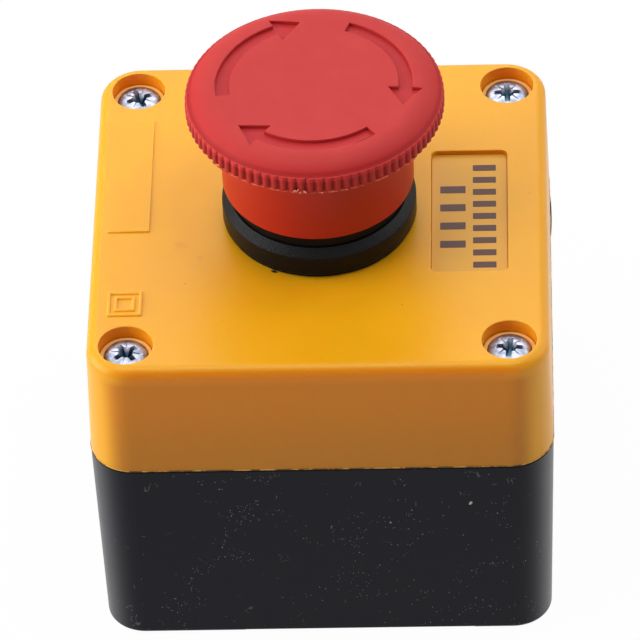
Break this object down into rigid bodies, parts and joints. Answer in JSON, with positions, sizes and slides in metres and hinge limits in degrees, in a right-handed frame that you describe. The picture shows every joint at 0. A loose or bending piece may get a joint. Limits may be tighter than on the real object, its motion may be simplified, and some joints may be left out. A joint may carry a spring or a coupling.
{
  "type": "emergency stop push button",
  "caption": "Emergency stop station: square two-part box with a turn-to-release mushroom push button that works a spring-loaded normally closed contact inside.",
  "frame": {"origin": "centre of the base's underside, on the plane of its four feet", "axes": "+Z out of the lid towards the button, +X towards the end of the box with the legend panel, +Y completes a right-handed frame"},
  "size_m": [0.0724, 0.0724, 0.0848],
  "materials": {
    "base_black": "fine matt grain, black",
    "lid_yellow": "fine matt grain, warm yellow",
    "seal_black": "matt elastomer",
    "zinc_screw": "zinc plated",
    "washer_nylon": "natural nylon, slightly yellowed",
    "brass": "machined",
    "legend_tan": "satin printed sheet",
    "operator_black": "fine grain, black",
    "nut_black": "glass-filled, dull",
    "spring_steel": "bright drawn wire",
    "stem_steel": "turned",
    "slide_white": "acetal, natural white",
    "sleeve_red": "semi-gloss orange red",
    "cap_red": "matt pinkish red",
    "collar_grey": "dull dark grey",
    "block_black": "dull black thermoset",
    "cover_grey": "dull dark grey",
    "strip_brass": "stamped strip",
    "tip_silver": "silver alloy button"
  },
  "bodies": {
    "housing": {"base_box": "base_black", "lid": "lid_yellow", "lid_gasket": "seal_black", "lid_screws": "zinc_screw", "screw_washers": "washer_nylon", "thread_inserts": "brass", "legend_panel": "legend_tan", "panel_seal": "seal_black", "operator_body": "operator_black", "mounting_nut": "nut_black", "retainer_ring": "operator_black", "latch_ring": "spring_steel", "return_spring": "spring_steel", "mounting_collar": "collar_grey", "collar_screw": "zinc_screw", "block_housing": "block_black", "block_cover": "cover_grey", "block_screws": "zinc_screw", "pusher_spring": "spring_steel", "fixed_contacts": "strip_brass", "fixed_tips": "tip_silver", "terminal_clamps": "zinc_screw", "terminal_screws": "zinc_screw"},
    "slide": {"plunger_slide": "slide_white", "twist_spring": "spring_steel"},
    "head": {"head_stem": "stem_steel", "cross_pin": "stem_steel", "stem_clip": "spring_steel", "head_sleeve": "sleeve_red", "mushroom_cap": "cap_red", "cap_screw": "zinc_screw"},
    "contacts": {"contact_pusher": "slide_white", "bridge_contact": "strip_brass", "bridge_tips": "tip_silver", "contact_spring": "spring_steel"}
  },
  "joints": [
    {"name": "head_press", "type": "slide", "parent": "housing", "child": "slide", "axis": [0, 0, 1], "range_m": [-0.0024, 0], "stiffness_N_per_m": 2500, "springref_m": 0.004, "deforming": ["return_spring"]},
    {"name": "head_twist", "type": "hinge", "parent": "slide", "child": "head", "pos_m": [0, 0, 0.06], "axis": [0, 0, 1], "range_deg": [-45, 0], "stiffness_Nm_per_rad": 0.04, "springref_deg": 22.92},
    {"name": "contact_press", "type": "slide", "parent": "housing", "child": "contacts", "axis": [0, 0, 1], "range_m": [-0.0024, 0], "stiffness_N_per_m": 100, "springref_m": 0.004, "deforming": ["pusher_spring"]}
  ],
  "couplings": [
    {"joint": "contact_press", "follows": "head_press", "ratio": 1}
  ]
}
